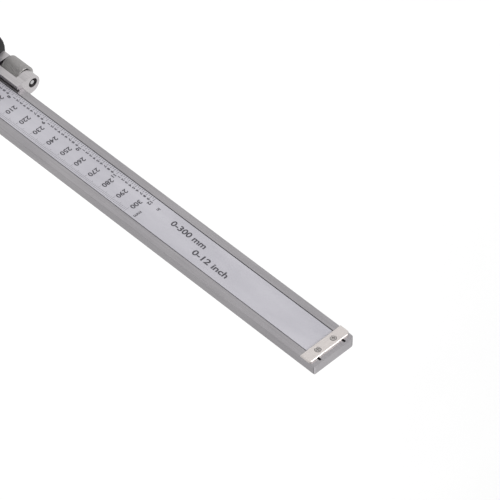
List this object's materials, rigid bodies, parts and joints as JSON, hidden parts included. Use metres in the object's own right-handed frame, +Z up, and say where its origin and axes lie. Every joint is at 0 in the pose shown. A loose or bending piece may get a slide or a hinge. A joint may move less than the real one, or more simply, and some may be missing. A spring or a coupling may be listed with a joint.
{
  "type": "digital height gauge with scriber",
  "caption": "Upright marking-out height gauge: base, graduated flat column with end stop, sliding display head with jaw, fine-adjust carriage, clamped carbide-tipped scriber.",
  "frame": {"origin": "on the base sole, under the centre of the column", "axes": "+Z up the column, the graduated front faces -Y, the jaw and scriber point to -X"},
  "size_m": [0.18, 0.072, 0.4746],
  "materials": {
    "base_iron": "dark grey hammered paint",
    "column_steel": "brushed along the column",
    "stop_steel": "bright polished",
    "slider_steel": "satin",
    "screw_steel": "satin",
    "knob_steel": "knurled, satin",
    "brass": "plain",
    "board_green": "printed circuit board",
    "label_film": "smooth grey film",
    "black_plastic": "fine texture",
    "button_rubber": "matt",
    "lcd_grey": "display cell",
    "window_clear": "clear",
    "cell_steel": "satin",
    "carbide": "ground"
  },
  "bodies": {
    "stand": {"base_block": "base_iron", "column_clamp_plate": "slider_steel", "column_clamp_screws": "screw_steel", "column_beam": "column_steel", "scale_board": "board_green", "scale_label": "label_film", "end_stop_plate": "stop_steel", "end_stop_screws": "screw_steel"},
    "slider": {"slider_frame": "slider_steel", "slider_back_plate": "slider_steel", "back_plate_screws": "screw_steel", "gib_strip": "brass", "gib_screws": "screw_steel", "fine_adjust_rod": "screw_steel", "display_housing": "black_plastic", "housing_screws": "screw_steel", "circuit_board": "board_green", "lcd_panel": "lcd_grey", "lcd_window": "window_clear", "battery_contact": "cell_steel", "battery_cell": "cell_steel", "scriber_clamp": "slider_steel"},
    "slider_lock": {"slider_lock_knob": "knob_steel"},
    "battery_lid": {"battery_cover": "black_plastic"},
    "power_key": {"button_power": "button_rubber"},
    "zero_key": {"button_zero": "button_rubber"},
    "unit_key": {"button_unit": "button_rubber"},
    "carriage": {"carriage_block": "slider_steel", "carriage_gib": "brass"},
    "carriage_lock": {"carriage_lock_knob": "knob_steel"},
    "nut": {"fine_adjust_nut": "knob_steel"},
    "bow_screw": {"clamp_screw": "knob_steel"},
    "scriber": {"scriber_bar": "slider_steel", "carbide_tip": "carbide"}
  },
  "joints": [
    {"name": "slider_travel", "type": "slide", "parent": "stand", "child": "slider", "axis": [0, 0, 1], "range_m": [-0.09, 0.21]},
    {"name": "slider_lock_turn", "type": "hinge", "parent": "slider", "child": "slider_lock", "pos_m": [0.026, 0, 0.1748], "axis": [1, 0, 0], "range_deg": [0, 360]},
    {"name": "battery_lid_slide", "type": "slide", "parent": "slider", "child": "battery_lid", "axis": [0, 0, -1], "range_m": [0, 0.026]},
    {"name": "power_press", "type": "slide", "parent": "slider", "child": "power_key", "axis": [0, 1, 0], "range_m": [0, 0.0008], "stiffness_N_per_m": 1500, "springref_m": -0.0003},
    {"name": "zero_press", "type": "slide", "parent": "slider", "child": "zero_key", "axis": [0, 1, 0], "range_m": [0, 0.0008], "stiffness_N_per_m": 1500, "springref_m": -0.0003},
    {"name": "unit_press", "type": "slide", "parent": "slider", "child": "unit_key", "axis": [0, 1, 0], "range_m": [0, 0.0008], "stiffness_N_per_m": 1500, "springref_m": -0.0003},
    {"name": "fine_travel", "type": "slide", "parent": "slider", "child": "carriage", "axis": [0, 0, 1], "range_m": [-0.0015, 0.004]},
    {"name": "fine_nut_spin", "type": "hinge", "parent": "carriage", "child": "nut", "pos_m": [-0.0198, -0.0017, 0.2333], "axis": [0, 0, 1], "range_deg": [-1081, 2881]},
    {"name": "carriage_lock_turn", "type": "hinge", "parent": "carriage", "child": "carriage_lock", "pos_m": [0.025, 0, 0.2333], "axis": [1, 0, 0], "range_deg": [0, 360]},
    {"name": "bow_screw_turn", "type": "hinge", "parent": "slider", "child": "bow_screw", "pos_m": [-0.059, -0.0012, 0.135], "axis": [0, 0, 1], "range_deg": [0, 720]},
    {"name": "scriber_slide", "type": "slide", "parent": "slider", "child": "scriber", "axis": [-1, 0, 0], "range_m": [-0.005, 0.004]}
  ],
  "couplings": [
    {"joint": "fine_nut_spin", "follows": "fine_travel", "rad_per_m": 12566}
  ]
}
